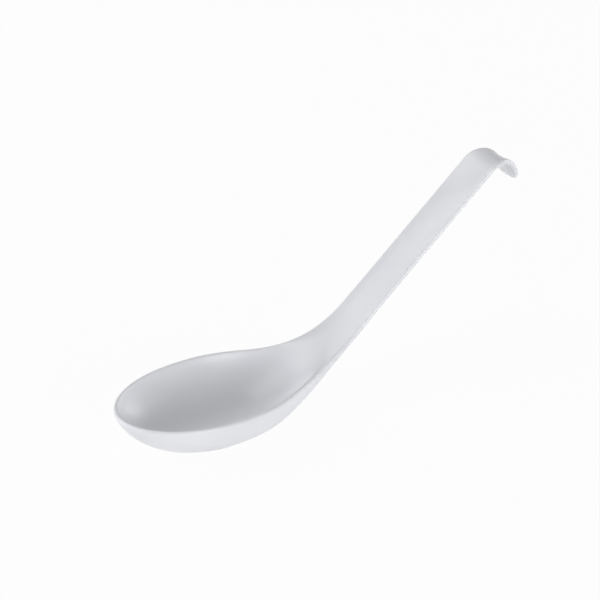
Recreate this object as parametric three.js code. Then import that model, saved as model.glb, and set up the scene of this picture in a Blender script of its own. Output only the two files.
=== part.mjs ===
// A one-piece soup spoon with a deep bowl, an angled handle and a hooked end.
// Millimetres, +Z up. The spoon lies along +X, its bowl at -X, standing on the flat base of the bowl.

import * as THREE from 'three';

const { degToRad, lerp, smoothstep } = THREE.MathUtils;

// Bowl
const BOWL_WIDTH = 46;
const BOWL_FRONT = 38; // from the widest section to the tip
const BOWL_DEPTH = 12.5; // from the rim to the floor inside
const FLOOR_THICKNESS = 3.7;
const RIM_THICKNESS = 1.9;
const RIM_DIP = degToRad(5); // fall of the rim from the tip to the neck
const RIM_RUN = 29.5; // straight rim behind the widest section
const WALL_LEAN = degToRad(62); // slope of the inner wall where it leaves the rim

// Flat base of the bowl
const BASE_CUT = 3.5; // depth taken off the round underside
const BASE_BLEND = 0.8; // height over which the underside rolls into the flat

// Neck
const NECK_RADIUS = 55.5; // bend of the rim line up into the handle
const NECK_START = 44; // from the widest section to the rear of the bowl's hollow
const WAIST_RUN = 32; // from the widest section to the narrowest underside
const STRIP_RUN = 62; // from the widest section to where the section is a flat strip

// Handle
const HANDLE_ANGLE = degToRad(35.5);
const HANDLE_LENGTH = 72;
const HANDLE_WIDTH = 15.1;
const HANDLE_EDGE = 2.2; // thickness at the edges, also of the hook
const HANDLE_CROWN = 1; // rise of the middle of the top above the edges
const CROWN_LEAN = degToRad(-15); // slope of the crowned top where it leaves the edges

// Hook
const HOOK_RADIUS = 10.6; // outside of the bend
const HOOK_SWEEP = degToRad(107);
const HOOK_WIDTH = 11.5; // where the bend ends and the rounded end starts
const HOOK_HOLLOW = 0.5; // fall of the middle of the outer face below the edges
const HOOK_LEAN = degToRad(8); // slope of the hollow outer face where it leaves the edges
const HOOK_EASE = 25; // end of the handle over which its crown turns into the hook's hollow
const HOOK_TIP = 4.5; // length of the rounded end
const HOOK_TIP_SQUARENESS = 3; // 2 is an ellipse, more is squarer

// How the sections fill out: the inner wall, the outer wall and the underside, each from 0 to 1
const SIDE = { inside: 0.33, wall: 0.49, under: 0.6 };
const TIP = { inside: 0.2, wall: 0.07, under: 0.76 };
const WAIST = { inside: 0.33, wall: 0.7, under: 0.55 };
const STRIP = { inside: 0.35, wall: 0.8, under: 0.8 };
const FLOOR_REACH = 0.55; // share of the inside that the floor's curve pulls flat

// How the bowl settles into the handle: the distance behind the widest section, and the sharpness of the change
const WIDTH_SETTLING = { reach: 38.4, sharpness: 2.6 };
const DEPTH_SETTLING = { reach: 42.4, sharpness: 2.8 };
const HOLLOW_SETTLING = { reach: 39, sharpness: 4.5 };
const LEAN_SETTLING = { reach: 42, sharpness: 8 };

// Fineness of the faces
const INSIDE_STEPS = 9;
const RIM_STEPS = 5;
const OUTSIDE_STEPS = 10;
const FRONT_STEPS = 16;
const REAR_STEPS = 11;
const NECK_STEPS = 8;
const HANDLE_STEPS = 8;
const HOOK_STEPS = 14;
const HOOK_TIP_STEPS = 6;

// The rim line, followed from the widest section to the end of the hook, as runs of steady bend
const NECK_LENGTH = NECK_RADIUS * (HANDLE_ANGLE + RIM_DIP);
const HANDLE_START = RIM_RUN + NECK_LENGTH;
const HOOK_START = HANDLE_START + HANDLE_LENGTH;
const HOOK_END = HOOK_START + HOOK_RADIUS * HOOK_SWEEP;
const RIM_LINE = [
  { length: RIM_RUN, bend: 0 },
  { length: NECK_LENGTH, bend: 1 / NECK_RADIUS },
  { length: HANDLE_LENGTH, bend: 0 },
  { length: HOOK_END - HOOK_START, bend: -1 / HOOK_RADIUS },
];

// The next place along a run, which is straight where it has no bend
function follow({ x, z, slope }, length, bend) {
  if (bend === 0) {
    return { x: x + length * Math.cos(slope), z: z + length * Math.sin(slope), slope };
  }
  const turned = slope + length * bend;
  return {
    x: x + (Math.sin(turned) - Math.sin(slope)) / bend,
    z: z - (Math.cos(turned) - Math.cos(slope)) / bend,
    slope: turned,
  };
}

// Where the rim line is at a distance from the widest section, and how steeply it rises there
function rimPlace(distance) {
  let place = { x: 0, z: 0, slope: -RIM_DIP };
  let left = distance;
  for (const { length, bend } of RIM_LINE) {
    place = follow(place, Math.min(left, length), bend);
    left = Math.max(left - length, 0);
  }
  return place;
}

// Falls smoothly from 1 towards 0, mostly round its reach
function settle(distance, { reach, sharpness }) {
  return Math.exp(-((distance / reach) ** sharpness));
}

function mixFullness(from, to, share) {
  return {
    inside: lerp(from.inside, to.inside, share),
    wall: lerp(from.wall, to.wall, share),
    under: lerp(from.under, to.under, share),
  };
}

// The sizes of the cross-section at a distance from the widest section
function sectionSizes(distance) {
  const width = settle(distance, WIDTH_SETTLING);
  const depth = settle(distance, DEPTH_SETTLING);
  const hollow = settle(distance, HOLLOW_SETTLING);
  const steepness = settle(distance, LEAN_SETTLING);
  const hooked = smoothstep(distance, HOOK_START - HOOK_EASE, HOOK_START);
  const topDepth = lerp(-HANDLE_CROWN, HOOK_HOLLOW, hooked);
  const topLean = lerp(CROWN_LEAN, HOOK_LEAN, hooked);
  const stripWidth = lerp(HANDLE_WIDTH, HOOK_WIDTH, smoothstep(distance, HOOK_START, HOOK_END));
  const bowlFullness = mixFullness(SIDE, WAIST, smoothstep(distance, 0, WAIST_RUN));
  return {
    halfWidth: lerp(stripWidth, BOWL_WIDTH, width) / 2,
    innerDepth: lerp(topDepth, BOWL_DEPTH, hollow),
    outerDepth: lerp(HANDLE_EDGE, BOWL_DEPTH + FLOOR_THICKNESS + BASE_CUT, depth),
    edgeRadius: lerp(HANDLE_EDGE, RIM_THICKNESS, depth) / 2,
    lean: lerp(topLean, WALL_LEAN, steepness),
    fullness: mixFullness(bowlFullness, STRIP, smoothstep(distance, WAIST_RUN, STRIP_RUN)),
  };
}

// Half of a cross-section, from the middle of the top, over the rounded rim, to the middle of the underside.
// In each point x is the distance from the middle and y is the height above the rim.
function halfSection({ halfWidth, innerDepth, outerDepth, edgeRadius, lean, fullness }) {
  const rimCentre = new THREE.Vector2(halfWidth - edgeRadius, -edgeRadius);
  const wallTop = new THREE.Vector2(-Math.sin(lean), Math.cos(lean)).multiplyScalar(edgeRadius).add(rimCentre);
  const wallPull = new THREE.Vector2(Math.cos(lean), Math.sin(lean)).multiplyScalar(fullness.inside * wallTop.x);
  const inside = new THREE.CubicBezierCurve(
    new THREE.Vector2(0, -innerDepth),
    new THREE.Vector2(FLOOR_REACH * wallTop.x, -innerDepth),
    wallTop.clone().sub(wallPull),
    wallTop,
  );
  const rim = new THREE.EllipseCurve(rimCentre.x, rimCentre.y, edgeRadius, edgeRadius, Math.PI / 2 + lean, 0, true);
  const outside = new THREE.CubicBezierCurve(
    new THREE.Vector2(halfWidth, -edgeRadius),
    new THREE.Vector2(halfWidth, -lerp(edgeRadius, outerDepth, fullness.wall)),
    new THREE.Vector2(fullness.under * halfWidth, -outerDepth),
    new THREE.Vector2(0, -outerDepth),
  );
  return [
    ...inside.getPoints(INSIDE_STEPS),
    ...rim.getPoints(RIM_STEPS).slice(1),
    ...outside.getPoints(OUTSIDE_STEPS).slice(1),
  ];
}

// The height of the flat base below the rim line's start
const BASE_HEIGHT = -(BOWL_DEPTH + FLOOR_THICKNESS) * Math.cos(RIM_DIP);

// Cuts the underside off flat at the base, with a small roll into the flat
function restOnBase(point) {
  const above = point.z - BASE_HEIGHT;
  const rolled = (Math.max(above, -BASE_BLEND) + BASE_BLEND) ** 2 / (4 * BASE_BLEND);
  point.z = BASE_HEIGHT + (above > BASE_BLEND ? above : rolled);
  return point;
}

// A closed ring round the spoon, made of a half-section on each side of the middle.
// A turn of 0 sets both halves square across the spoon. Up to a quarter turn swings them together to one end.
function makeRing(points, { x, z, slope }, turn = 0) {
  const forward = new THREE.Vector3(Math.cos(slope), 0, Math.sin(slope));
  const up = new THREE.Vector3(-Math.sin(slope), 0, Math.cos(slope));
  const setPoint = (point, side) => {
    const placed = new THREE.Vector3(x, side * point.x * Math.cos(turn), z);
    placed.addScaledVector(forward, point.x * Math.sin(turn));
    return restOnBase(placed.addScaledVector(up, point.y));
  };
  const left = points.map((point) => setPoint(point, 1));
  const right = points.slice(1, -1).map((point) => setPoint(point, -1));
  return [...left, ...right.reverse()];
}

// Rings square across the spoon, at even distances
function crossRings(from, to, steps) {
  return Array.from({ length: steps + 1 }, (_, step) => {
    const distance = lerp(from, to, step / steps);
    return makeRing(halfSection(sectionSizes(distance)), rimPlace(distance));
  });
}

// Rings swung round the middle of the bowl, from the tip to just before the widest section
function frontRings() {
  const sizes = sectionSizes(0);
  return Array.from({ length: FRONT_STEPS }, (_, step) => {
    const turn = (-Math.PI / 2) * (1 - step / FRONT_STEPS);
    const across = Math.cos(turn) / sizes.halfWidth;
    const along = Math.sin(turn) / BOWL_FRONT;
    const turned = {
      ...sizes,
      halfWidth: 1 / Math.hypot(across, along),
      fullness: mixFullness(sizes.fullness, TIP, Math.sin(turn) ** 2),
    };
    return makeRing(halfSection(turned), rimPlace(0), turn);
  });
}

// Rings swung round the end of the hook, which close its squarish rounded tip
function tipRings() {
  const sizes = sectionSizes(HOOK_END);
  return Array.from({ length: HOOK_TIP_STEPS }, (_, step) => {
    const turn = (Math.PI / 2) * ((step + 1) / HOOK_TIP_STEPS);
    const across = (Math.abs(Math.cos(turn)) / sizes.halfWidth) ** HOOK_TIP_SQUARENESS;
    const along = (Math.sin(turn) / HOOK_TIP) ** HOOK_TIP_SQUARENESS;
    const halfWidth = (across + along) ** (-1 / HOOK_TIP_SQUARENESS);
    return makeRing(halfSection({ ...sizes, halfWidth }), rimPlace(HOOK_END), turn);
  });
}

// The flat face that closes a piece at the section where it meets its neighbour
function capTriangles(distance, ring, facesBack) {
  const half = halfSection(sectionSizes(distance));
  const mirrored = half.slice(1, -1).map((point) => new THREE.Vector2(-point.x, point.y));
  const outline = [...half, ...mirrored.reverse()];
  const corners = THREE.ShapeUtils.triangulateShape(outline, []);
  const areaSign = Math.sign(THREE.ShapeUtils.area(outline));
  return corners.map(([a, b, c]) => {
    const triangle = [ring[a], ring[b], ring[c]];
    return facesBack === areaSign > 0 ? triangle : triangle.reverse();
  });
}

// The skin between rings, without the triangles that shrink to a line where rings meet
function skinTriangles(rings) {
  const triangles = [];
  for (let i = 0; i + 1 < rings.length; i += 1) {
    const [back, front] = [rings[i], rings[i + 1]];
    back.forEach((corner, j) => {
      const next = (j + 1) % back.length;
      triangles.push([corner, front[j], back[next]], [back[next], front[j], front[next]]);
    });
  }
  const apart = (a, b) => a.distanceTo(b) > 1e-6;
  return triangles.filter(([a, b, c]) => apart(a, b) && apart(b, c) && apart(c, a));
}

function toGeometry(triangles) {
  return new THREE.BufferGeometry().setFromPoints(triangles.flat());
}

const melamine = { color: 0xeef0f3, roughness: 0.22, metalness: 0 };

function makePiece(name, triangles) {
  const geometry = toGeometry(triangles);
  geometry.computeVertexNormals();
  const piece = new THREE.Mesh(geometry, new THREE.MeshStandardMaterial(melamine));
  piece.name = name;
  return piece;
}

const bowlRings = [...frontRings(), ...crossRings(0, NECK_START, REAR_STEPS)];
const neckRings = crossRings(NECK_START, HANDLE_START, NECK_STEPS);
const handleRings = crossRings(HANDLE_START, HOOK_START, HANDLE_STEPS);
const hookRings = [...crossRings(HOOK_START, HOOK_END, HOOK_STEPS), ...tipRings()];

const spoon = new THREE.Group();
spoon.add(
  makePiece('bowl', [...skinTriangles(bowlRings), ...capTriangles(NECK_START, bowlRings.at(-1), false)]),
  makePiece('neck', [
    ...capTriangles(NECK_START, neckRings[0], true),
    ...skinTriangles(neckRings),
    ...capTriangles(HANDLE_START, neckRings.at(-1), false),
  ]),
  makePiece('handle', [
    ...capTriangles(HANDLE_START, handleRings[0], true),
    ...skinTriangles(handleRings),
    ...capTriangles(HOOK_START, handleRings.at(-1), false),
  ]),
  makePiece('hook', [...capTriangles(HOOK_START, hookRings[0], true), ...skinTriangles(hookRings)]),
);

// The origin is on the base plane, under the middle of the spoon's length
const box = new THREE.Box3().setFromObject(spoon);
spoon.position.set(-(box.min.x + box.max.x) / 2, 0, -box.min.z);

export default spoon;
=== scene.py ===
import math

import bmesh
import bpy
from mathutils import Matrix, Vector


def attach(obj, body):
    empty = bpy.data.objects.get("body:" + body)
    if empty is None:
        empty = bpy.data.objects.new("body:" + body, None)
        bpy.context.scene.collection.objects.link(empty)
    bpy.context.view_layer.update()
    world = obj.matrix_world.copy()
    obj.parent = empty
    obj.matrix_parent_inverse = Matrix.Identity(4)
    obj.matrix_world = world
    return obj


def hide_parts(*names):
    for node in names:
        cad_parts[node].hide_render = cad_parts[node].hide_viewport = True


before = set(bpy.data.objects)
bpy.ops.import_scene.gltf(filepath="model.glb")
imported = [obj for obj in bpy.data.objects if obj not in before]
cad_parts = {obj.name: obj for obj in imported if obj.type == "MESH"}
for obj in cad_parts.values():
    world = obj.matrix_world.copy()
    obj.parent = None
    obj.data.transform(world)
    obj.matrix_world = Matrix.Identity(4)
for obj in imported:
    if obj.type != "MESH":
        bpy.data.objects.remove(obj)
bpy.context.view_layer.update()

MM = 0.001

# Bowl, in millimetres and degrees as in the part's source
BOWL_WIDTH = 46
BOWL_FRONT = 38
BOWL_DEPTH = 12.5
FLOOR_THICKNESS = 3.7
RIM_THICKNESS = 1.9
RIM_DIP = math.radians(5)
RIM_RUN = 29.5
WALL_LEAN = math.radians(62)

# Flat base of the bowl
BASE_CUT = 3.5
BASE_BLEND = 0.8

# Neck
NECK_RADIUS = 55.5
WAIST_RUN = 32
STRIP_RUN = 62

# Handle
HANDLE_ANGLE = math.radians(35.5)
HANDLE_LENGTH = 72
HANDLE_WIDTH = 15.1
HANDLE_EDGE = 2.2
HANDLE_CROWN = 1.0
CROWN_LEAN = math.radians(-15)

# Hook
HOOK_RADIUS = 10.6
HOOK_SWEEP = math.radians(107)
HOOK_WIDTH = 11.5
HOOK_HOLLOW = 0.5
HOOK_LEAN = math.radians(8)
HOOK_EASE = 25
HOOK_TIP = 4.5
HOOK_TIP_SQUARENESS = 3

# How the sections fill out: the inner wall, the outer wall and the underside
SIDE = (0.33, 0.49, 0.6)
TIP = (0.2, 0.07, 0.76)
WAIST = (0.33, 0.7, 0.55)
STRIP = (0.35, 0.8, 0.8)
FLOOR_REACH = 0.55

# How the bowl settles into the handle: distance behind the widest section, and sharpness of the change
WIDTH_SETTLING = (38.4, 2.6)
DEPTH_SETTLING = (42.4, 2.8)
HOLLOW_SETTLING = (39, 4.5)
LEAN_SETTLING = (42, 8)

# Fineness of the mesh
INSIDE_STEPS = 26
RIM_STEPS = 12
OUTSIDE_STEPS = 30
FRONT_STEPS = 48
BODY_STEP = 1.4
HOOK_STEP = 0.6
HOOK_TIP_STEPS = 16
WELD_DISTANCE = 1e-7  # in metres

# The rim line, followed from the widest section to the end of the hook, as runs of steady bend
NECK_LENGTH = NECK_RADIUS * (HANDLE_ANGLE + RIM_DIP)
HOOK_START = RIM_RUN + NECK_LENGTH + HANDLE_LENGTH
HOOK_END = HOOK_START + HOOK_RADIUS * HOOK_SWEEP
RIM_LINE = [
    (RIM_RUN, 0),
    (NECK_LENGTH, 1 / NECK_RADIUS),
    (HANDLE_LENGTH, 0),
    (HOOK_END - HOOK_START, -1 / HOOK_RADIUS),
]

# The photograph's camera, its distance in metres and its lens in millimetres
CAMERA_AIM = Vector((-8.1, 3.5, 35.6)) * MM
CAMERA_AZIMUTH = math.radians(-38.2)
CAMERA_ELEVATION = math.radians(32.1)
CAMERA_DISTANCE = 0.9
CAMERA_LENS = 148.9

# Low softboxes round the spoon and one overhead: azimuth and elevation in degrees, and power in watts
SOFTBOX_SIZE = 0.9
SOFTBOX_DISTANCE = 1.5
SOFTBOXES = {
    "front_softbox": (0, 8, 13.9),
    "left_softbox": (-90, 8, 6.5),
    "right_softbox": (90, 8, 6.3),
    "rear_left_softbox": (-135, 25, 9.2),
    "top_softbox": (180, 70, 3.5),
}
AMBIENT = 0.21

# Floor
FLOOR_SIZE = 8
FLOOR_PAINT = (0.9, 0.9, 0.9, 1)
FLOOR_ROUGHNESS = 0.9
FLOOR_WHITENESS = 0.95  # share of plain white over the paint, whose shadow shows in the rest

# Melamine: its gloss and its two whites
MELAMINE_IOR = 1.6
POLISH_ROUGHNESS = (0.28, 0.38)
DEEP_WHITE = (0.835, 0.848, 0.892, 1)
PALE_WHITE = (0.875, 0.882, 0.912, 1)

# Noise on the melamine, in waves per metre and levels of detail, and the middle of its range
TONE_NOISE = (45, 3)
POLISH_NOISE = (160, 4)
PEEL_NOISE = (700, 2)
SCUFF_NOISE = (900, 5)
SCRATCH_NOISE = (25, 1)
NOISE_MIDDLE = (0.3, 0.7)

# Scratches and wear
SCRATCH_ANGLES = (0.35, -0.5)  # in radians
SCRATCH_STRETCH = (1, 100, 100)
SCRATCH_CUTOFF = (0.68, 0.74)  # levels of the noise between which a scratch begins
SCRATCH_DULLING = 0.05
BASE_WEAR = (0.0003, 0.002)  # heights above the table between which the wear fades out
BASE_DULLING = 0.3

# Strength and depth in metres of the relief
PEEL_RELIEF = (0.05, 3e-5)
SCRATCH_RELIEF = (0.04, 1e-5)


def lerp(start, end, share):
    return start + (end - start) * share


def smoothstep(value, start, end):
    share = min(max((value - start) / (end - start), 0), 1)
    return share * share * (3 - 2 * share)


def settle(distance, settling):
    """Falls smoothly from 1 towards 0, mostly round its reach."""
    reach, sharpness = settling
    return math.exp(-((distance / reach) ** sharpness))


def mix(first, second, share):
    return tuple(lerp(a, b, share) for a, b in zip(first, second))


def rim_place(distance):
    """Where the rim line is at a distance from the widest section, and how steeply it rises there."""
    x, z, slope = 0.0, 0.0, -RIM_DIP
    for length, bend in RIM_LINE:
        run = min(distance, length)
        distance = max(distance - length, 0)
        turned = slope + run * bend
        if bend:
            x += (math.sin(turned) - math.sin(slope)) / bend
            z -= (math.cos(turned) - math.cos(slope)) / bend
        else:
            x += run * math.cos(slope)
            z += run * math.sin(slope)
        slope = turned
    return x, z, slope


def section_sizes(distance):
    """Sizes of the cross-section at a distance from the widest section."""
    width = settle(distance, WIDTH_SETTLING)
    depth = settle(distance, DEPTH_SETTLING)
    hollow = settle(distance, HOLLOW_SETTLING)
    steepness = settle(distance, LEAN_SETTLING)
    hooked = smoothstep(distance, HOOK_START - HOOK_EASE, HOOK_START)
    top_depth = lerp(-HANDLE_CROWN, HOOK_HOLLOW, hooked)
    top_lean = lerp(CROWN_LEAN, HOOK_LEAN, hooked)
    strip_width = lerp(HANDLE_WIDTH, HOOK_WIDTH, smoothstep(distance, HOOK_START, HOOK_END))
    bowl_fullness = mix(SIDE, WAIST, smoothstep(distance, 0, WAIST_RUN))
    return {
        "half_width": lerp(strip_width, BOWL_WIDTH, width) / 2,
        "inner_depth": lerp(top_depth, BOWL_DEPTH, hollow),
        "outer_depth": lerp(HANDLE_EDGE, BOWL_DEPTH + FLOOR_THICKNESS + BASE_CUT, depth),
        "edge_radius": lerp(HANDLE_EDGE, RIM_THICKNESS, depth) / 2,
        "lean": lerp(top_lean, WALL_LEAN, steepness),
        "fullness": mix(bowl_fullness, STRIP, smoothstep(distance, WAIST_RUN, STRIP_RUN)),
    }


def bezier(start, start_pull, end_pull, end, steps):
    points = []
    for step in range(steps + 1):
        t = step / steps
        near = start * (1 - t) ** 3 + start_pull * 3 * t * (1 - t) ** 2
        points.append(near + end_pull * 3 * t * t * (1 - t) + end * t**3)
    return points


def half_section(half_width, inner_depth, outer_depth, edge_radius, lean, fullness):
    """Points (out from the middle, up from the rim) from the top, over the rim, to the underside."""
    inside_pull, wall_pull, under_pull = fullness
    rim_centre = Vector((half_width - edge_radius, -edge_radius))
    wall_top = rim_centre + edge_radius * Vector((-math.sin(lean), math.cos(lean)))
    wall_slope = Vector((math.cos(lean), math.sin(lean)))
    inside = bezier(
        Vector((0, -inner_depth)),
        Vector((FLOOR_REACH * wall_top.x, -inner_depth)),
        wall_top - wall_slope * inside_pull * wall_top.x,
        wall_top,
        INSIDE_STEPS,
    )
    rim = []
    for step in range(1, RIM_STEPS + 1):
        angle = (math.pi / 2 + lean) * (1 - step / RIM_STEPS)
        rim.append(rim_centre + edge_radius * Vector((math.cos(angle), math.sin(angle))))
    outside = bezier(
        Vector((half_width, -edge_radius)),
        Vector((half_width, -lerp(edge_radius, outer_depth, wall_pull))),
        Vector((under_pull * half_width, -outer_depth)),
        Vector((0, -outer_depth)),
        OUTSIDE_STEPS,
    )
    return inside + rim + outside[1:]


def rest_on_base(height):
    """Cuts the underside off flat at the base, with a small roll into the flat."""
    base = -(BOWL_DEPTH + FLOOR_THICKNESS) * math.cos(RIM_DIP)
    above = height - base
    if above > BASE_BLEND:
        return height
    return base + (max(above, -BASE_BLEND) + BASE_BLEND) ** 2 / (4 * BASE_BLEND)


def make_ring(points, place, turn=0.0):
    """A closed ring of a half-section on each side, square across or swung together to one end."""
    x, z, slope = place

    def set_point(point, side):
        along = point.x * math.sin(turn)
        across = side * point.x * math.cos(turn)
        forward = x + along * math.cos(slope) - point.y * math.sin(slope)
        height = z + along * math.sin(slope) + point.y * math.cos(slope)
        return Vector((forward, across, rest_on_base(height)))

    left = [set_point(point, 1) for point in points]
    right = [set_point(point, -1) for point in points[1:-1]]
    return left + right[::-1]


def front_rings():
    """Rings swung round the middle of the bowl, from the tip to just before the widest section."""
    sizes = section_sizes(0)
    rings = []
    for step in range(FRONT_STEPS):
        turn = -math.pi / 2 * (1 - step / FRONT_STEPS)
        radius = 1 / math.hypot(math.cos(turn) / sizes["half_width"], math.sin(turn) / BOWL_FRONT)
        fullness = mix(sizes["fullness"], TIP, math.sin(turn) ** 2)
        turned = {**sizes, "half_width": radius, "fullness": fullness}
        rings.append(make_ring(half_section(**turned), rim_place(0), turn))
    return rings


def cross_rings(start, end, spacing):
    """Rings square across the spoon, at even distances."""
    steps = math.ceil((end - start) / spacing)
    rings = []
    for step in range(steps + 1):
        distance = lerp(start, end, step / steps)
        rings.append(make_ring(half_section(**section_sizes(distance)), rim_place(distance)))
    return rings


def tip_rings():
    """Rings swung round the end of the hook, which close its squarish rounded tip."""
    sizes = section_sizes(HOOK_END)
    rings = []
    for step in range(1, HOOK_TIP_STEPS + 1):
        turn = math.pi / 2 * step / HOOK_TIP_STEPS
        across = abs(math.cos(turn) / sizes["half_width"]) ** HOOK_TIP_SQUARENESS
        along = abs(math.sin(turn) / HOOK_TIP) ** HOOK_TIP_SQUARENESS
        radius = (across + along) ** (-1 / HOOK_TIP_SQUARENESS)
        rings.append(make_ring(half_section(**{**sizes, "half_width": radius}), rim_place(HOOK_END), turn))
    return rings


def skin_mesh(name, rings):
    """One closed smooth mesh through the rings, standing on the floor over the middle of its length."""
    mesh_builder = bmesh.new()
    lengths = [point.x for ring in rings for point in ring]
    middle = (min(lengths) + max(lengths)) / 2
    base = min(point.z for ring in rings for point in ring)
    shift = Vector((-middle, 0, -base))
    vertex_rings = [[mesh_builder.verts.new((point + shift) * MM) for point in ring] for ring in rings]
    for back, front in zip(vertex_rings, vertex_rings[1:]):
        for i, corner in enumerate(back):
            after = (i + 1) % len(back)
            mesh_builder.faces.new((corner, front[i], front[after], back[after]))
    bmesh.ops.remove_doubles(mesh_builder, verts=mesh_builder.verts, dist=WELD_DISTANCE)
    bmesh.ops.recalc_face_normals(mesh_builder, faces=mesh_builder.faces)
    for face in mesh_builder.faces:
        face.smooth = True
    mesh = bpy.data.meshes.new(name)
    mesh_builder.to_mesh(mesh)
    mesh_builder.free()
    return mesh


def make_spoon(material):
    """The whole moulding as one seamless piece, which stands for the four solids."""
    rings = front_rings()
    rings += cross_rings(0, HOOK_START, BODY_STEP)
    rings += cross_rings(HOOK_START, HOOK_END, HOOK_STEP)[1:]
    rings += tip_rings()
    spoon = bpy.data.objects.new("spoon_body", skin_mesh("spoon_body", rings))
    spoon.data.materials.append(material)
    bpy.context.scene.collection.objects.link(spoon)
    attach(spoon, "root")
    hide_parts("bowl", "neck", "handle", "hook")


def add_noise(tree, coordinates, scale, detail):
    """Soft noise, its scale in waves per metre."""
    noise = tree.nodes.new("ShaderNodeTexNoise")
    noise.inputs["Scale"].default_value = scale
    noise.inputs["Detail"].default_value = detail
    tree.links.new(coordinates, noise.inputs["Vector"])
    return noise.outputs["Fac"]


def add_map(tree, value, from_range, to_range):
    """Maps a range of values onto another one, and stops at its ends."""
    mapped = tree.nodes.new("ShaderNodeMapRange")
    mapped.inputs["From Min"].default_value = from_range[0]
    mapped.inputs["From Max"].default_value = from_range[1]
    mapped.inputs["To Min"].default_value = to_range[0]
    mapped.inputs["To Max"].default_value = to_range[1]
    tree.links.new(value, mapped.inputs["Value"])
    return mapped.outputs["Result"]


def add_math(tree, operation, first, second):
    math_node = tree.nodes.new("ShaderNodeMath")
    math_node.operation = operation
    tree.links.new(first, math_node.inputs[0])
    tree.links.new(second, math_node.inputs[1])
    return math_node.outputs["Value"]


def add_scratches(tree, coordinates, angle):
    """Thin straight hairlines that run at an angle across the spoon."""
    stretch = tree.nodes.new("ShaderNodeMapping")
    stretch.inputs["Rotation"].default_value = (0, 0, angle)
    stretch.inputs["Scale"].default_value = SCRATCH_STRETCH
    tree.links.new(coordinates, stretch.inputs["Vector"])
    lines = add_noise(tree, stretch.outputs["Vector"], *SCRATCH_NOISE)
    return add_map(tree, lines, SCRATCH_CUTOFF, (0, 1))


def add_bump(tree, height, relief, normal=None):
    strength, depth = relief
    bump = tree.nodes.new("ShaderNodeBump")
    bump.inputs["Strength"].default_value = strength
    bump.inputs["Distance"].default_value = depth
    tree.links.new(height, bump.inputs["Height"])
    if normal:
        tree.links.new(normal, bump.inputs["Normal"])
    return bump.outputs["Normal"]


def make_melamine():
    """Softly glossy cool-white melamine, with a faint orange peel, hairline scratches and a worn base."""
    material = bpy.data.materials.new("melamine")
    material.use_nodes = True
    tree = material.node_tree
    shader = tree.nodes["Principled BSDF"]
    shader.inputs["IOR"].default_value = MELAMINE_IOR
    coordinates = tree.nodes.new("ShaderNodeTexCoord").outputs["Object"]

    tone = tree.nodes.new("ShaderNodeValToRGB")
    for element, position, white in zip(tone.color_ramp.elements, NOISE_MIDDLE, (DEEP_WHITE, PALE_WHITE)):
        element.position = position
        element.color = white
    tree.links.new(add_noise(tree, coordinates, *TONE_NOISE), tone.inputs["Fac"])
    tree.links.new(tone.outputs["Color"], shader.inputs["Base Color"])

    one_way, other_way = [add_scratches(tree, coordinates, angle) for angle in SCRATCH_ANGLES]
    scratches = add_math(tree, "MAXIMUM", one_way, other_way)
    polish = add_map(tree, add_noise(tree, coordinates, *POLISH_NOISE), NOISE_MIDDLE, POLISH_ROUGHNESS)
    dulled = add_math(tree, "ADD", polish, add_map(tree, scratches, (0, 1), (0, SCRATCH_DULLING)))
    height = tree.nodes.new("ShaderNodeSeparateXYZ")
    tree.links.new(coordinates, height.inputs["Vector"])
    contact = add_map(tree, height.outputs["Z"], BASE_WEAR, (BASE_DULLING, 0))
    scuffs = add_math(tree, "MULTIPLY", contact, add_noise(tree, coordinates, *SCUFF_NOISE))
    tree.links.new(add_math(tree, "ADD", dulled, scuffs), shader.inputs["Roughness"])

    peel = add_bump(tree, add_noise(tree, coordinates, *PEEL_NOISE), PEEL_RELIEF)
    scored = add_bump(tree, add_map(tree, scratches, (0, 1), (1, 0)), SCRATCH_RELIEF, peel)
    tree.links.new(scored, shader.inputs["Normal"])
    return material


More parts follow.
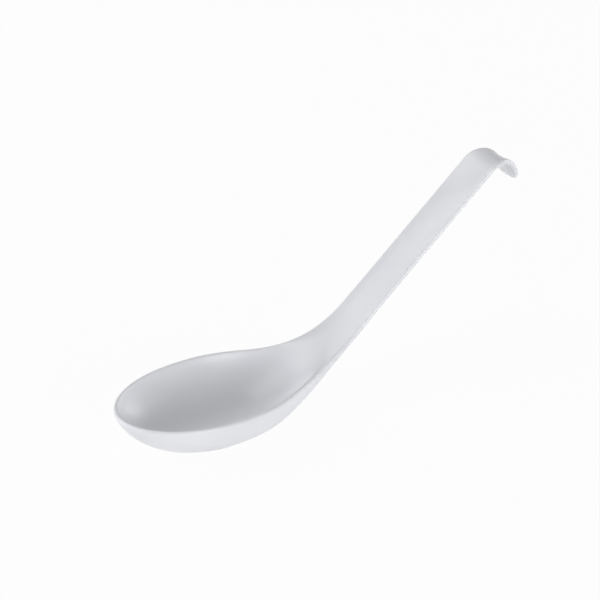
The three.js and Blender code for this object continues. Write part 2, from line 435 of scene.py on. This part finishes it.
def make_floor():
    """A plain white floor that the camera and the spoon's gloss see as white, with a soft shadow on it."""
    bpy.ops.mesh.primitive_plane_add(size=FLOOR_SIZE)
    floor = bpy.context.object
    floor.name = "floor"
    material = bpy.data.materials.new("floor")
    material.use_nodes = True
    nodes = material.node_tree.nodes
    links = material.node_tree.links
    paint = nodes["Principled BSDF"]
    paint.inputs["Base Color"].default_value = FLOOR_PAINT
    paint.inputs["Roughness"].default_value = FLOOR_ROUGHNESS
    paint.inputs["Specular IOR Level"].default_value = 0.0
    white = nodes.new("ShaderNodeEmission")
    white.inputs["Strength"].default_value = 1.0
    path = nodes.new("ShaderNodeLightPath").outputs
    seen = add_math(material.node_tree, "MAXIMUM", path["Is Camera Ray"], path["Is Glossy Ray"])
    share = add_map(material.node_tree, seen, (0, 1), (0, FLOOR_WHITENESS))
    blend = nodes.new("ShaderNodeMixShader")
    links.new(share, blend.inputs["Fac"])
    links.new(paint.outputs[0], blend.inputs[1])
    links.new(white.outputs[0], blend.inputs[2])
    links.new(blend.outputs[0], nodes["Material Output"].inputs["Surface"])
    floor.data.materials.append(material)


def make_world():
    """Soft studio surroundings that are white behind the spoon."""
    world = bpy.data.worlds.new("studio")
    world.use_nodes = True
    nodes = world.node_tree.nodes
    links = world.node_tree.links
    ambient = nodes["Background"]
    ambient.inputs["Color"].default_value = (AMBIENT, AMBIENT, AMBIENT, 1)
    backdrop = nodes.new("ShaderNodeBackground")
    backdrop.inputs["Color"].default_value = (1, 1, 1, 1)
    path = nodes.new("ShaderNodeLightPath")
    blend = nodes.new("ShaderNodeMixShader")
    links.new(path.outputs["Is Camera Ray"], blend.inputs["Fac"])
    links.new(ambient.outputs[0], blend.inputs[1])
    links.new(backdrop.outputs[0], blend.inputs[2])
    links.new(blend.outputs[0], nodes["World Output"].inputs["Surface"])
    bpy.context.scene.world = world


def direction(azimuth, elevation):
    """Unit vector from the object towards a camera or lamp."""
    flat = math.cos(elevation)
    return Vector((math.sin(azimuth) * flat, -math.cos(azimuth) * flat, math.sin(elevation)))


def aim(thing, target, back, distance):
    thing.location = target + back * distance
    thing.rotation_euler = (-back).to_track_quat("-Z", "Y").to_euler()


def make_camera():
    camera = bpy.data.objects.new("camera", bpy.data.cameras.new("camera"))
    camera.data.lens = CAMERA_LENS
    aim(camera, CAMERA_AIM, direction(CAMERA_AZIMUTH, CAMERA_ELEVATION), CAMERA_DISTANCE)
    bpy.context.scene.collection.objects.link(camera)
    bpy.context.scene.camera = camera


def make_softbox(name, azimuth, elevation, power):
    lamp = bpy.data.objects.new(name, bpy.data.lights.new(name, "AREA"))
    lamp.data.size = SOFTBOX_SIZE
    lamp.data.energy = power
    aim(lamp, CAMERA_AIM, direction(math.radians(azimuth), math.radians(elevation)), SOFTBOX_DISTANCE)
    lamp.visible_camera = False
    bpy.context.scene.collection.objects.link(lamp)


make_camera()
make_spoon(make_melamine())
make_floor()
make_world()
for softbox, setting in SOFTBOXES.items():
    make_softbox(softbox, *setting)
bpy.context.scene.view_settings.view_transform = "Standard"
